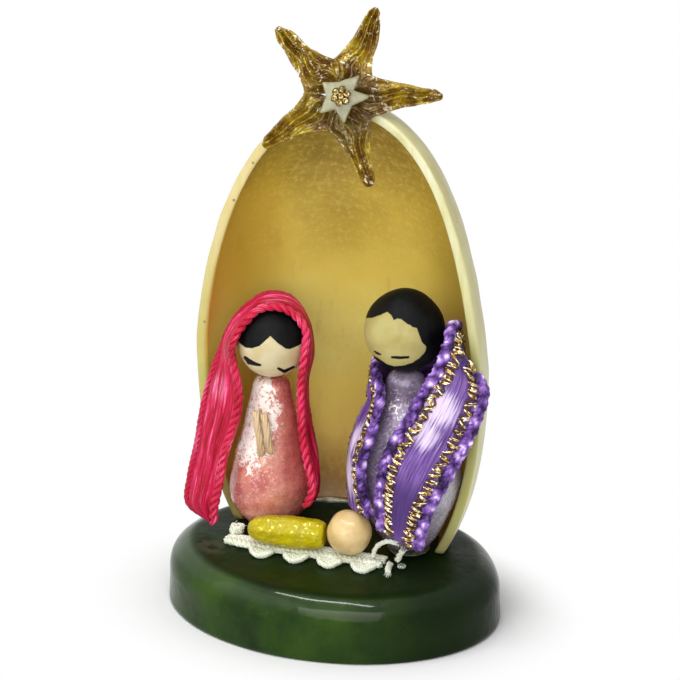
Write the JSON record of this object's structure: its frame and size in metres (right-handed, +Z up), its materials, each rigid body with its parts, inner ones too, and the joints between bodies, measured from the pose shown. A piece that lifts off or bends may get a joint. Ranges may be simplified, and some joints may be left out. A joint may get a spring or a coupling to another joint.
{
  "type": "nutshell nativity scene",
  "caption": "Miniature nativity scene: half a nutshell standing on an oval disc, with two robed figures, a child on lace and a star at its tip.",
  "frame": {"origin": "centre of the flat underside of the oval base disc", "axes": "+Z up, the shell's mouth faces -Y, +X to the viewer's right"},
  "size_m": [0.0144, 0.0113, 0.0268],
  "materials": {
    "green_clay": "gloss",
    "nutshell": "satin",
    "dry_glue": "satin",
    "clear_glue": "gloss",
    "gold_pod": "metallic paint",
    "ivory": "matte",
    "gold_bead": "satin",
    "cream_bead": "satin paint",
    "tan_bead": "satin paint",
    "peach_bead": "satin paint",
    "pink_pearl": "pearl paint",
    "mauve_pearl": "pearl paint",
    "green_glitter": "glitter paint",
    "pink_ribbon": "satin",
    "pink_cord": "satin",
    "purple_satin": "satin",
    "purple_thread": "matte",
    "gold_thread": "metallic thread",
    "tan_thread": "matte",
    "white_cotton": "matte"
  },
  "bodies": {
    "root": {"base_disc": "green_clay", "nutshell_half": "nutshell", "shell_foot_glue": "dry_glue", "woman_glue_pad": "dry_glue", "woman_body": "pink_pearl", "woman_head": "cream_bead", "veil_ribbon": "pink_ribbon", "veil_front_cord": "pink_cord", "veil_back_cord": "pink_cord", "woman_hand_left": "tan_thread", "woman_hand_right": "tan_thread", "man_glue_pad": "dry_glue", "man_body": "mauve_pearl", "man_head": "tan_bead", "shawl_ribbon": "purple_satin", "shawl_inner_braid": "purple_thread", "shawl_outer_braid": "purple_thread", "shawl_inner_stitches": "gold_thread", "shawl_outer_stitches": "gold_thread", "baby_body": "green_glitter", "baby_head": "peach_bead", "lace_edging": "white_cotton", "yarn_end_front": "white_cotton", "yarn_end_back": "white_cotton", "yarn_curl": "white_cotton", "clear_glue_drop": "clear_glue", "star_arm_1": "gold_pod", "star_arm_2": "gold_pod", "star_arm_3": "gold_pod", "star_arm_4": "gold_pod", "star_arm_5": "gold_pod", "star_core": "gold_pod", "ivory_star": "ivory", "star_beads": "gold_bead", "star_glue": "dry_glue"}
  },
  "joints": []
}
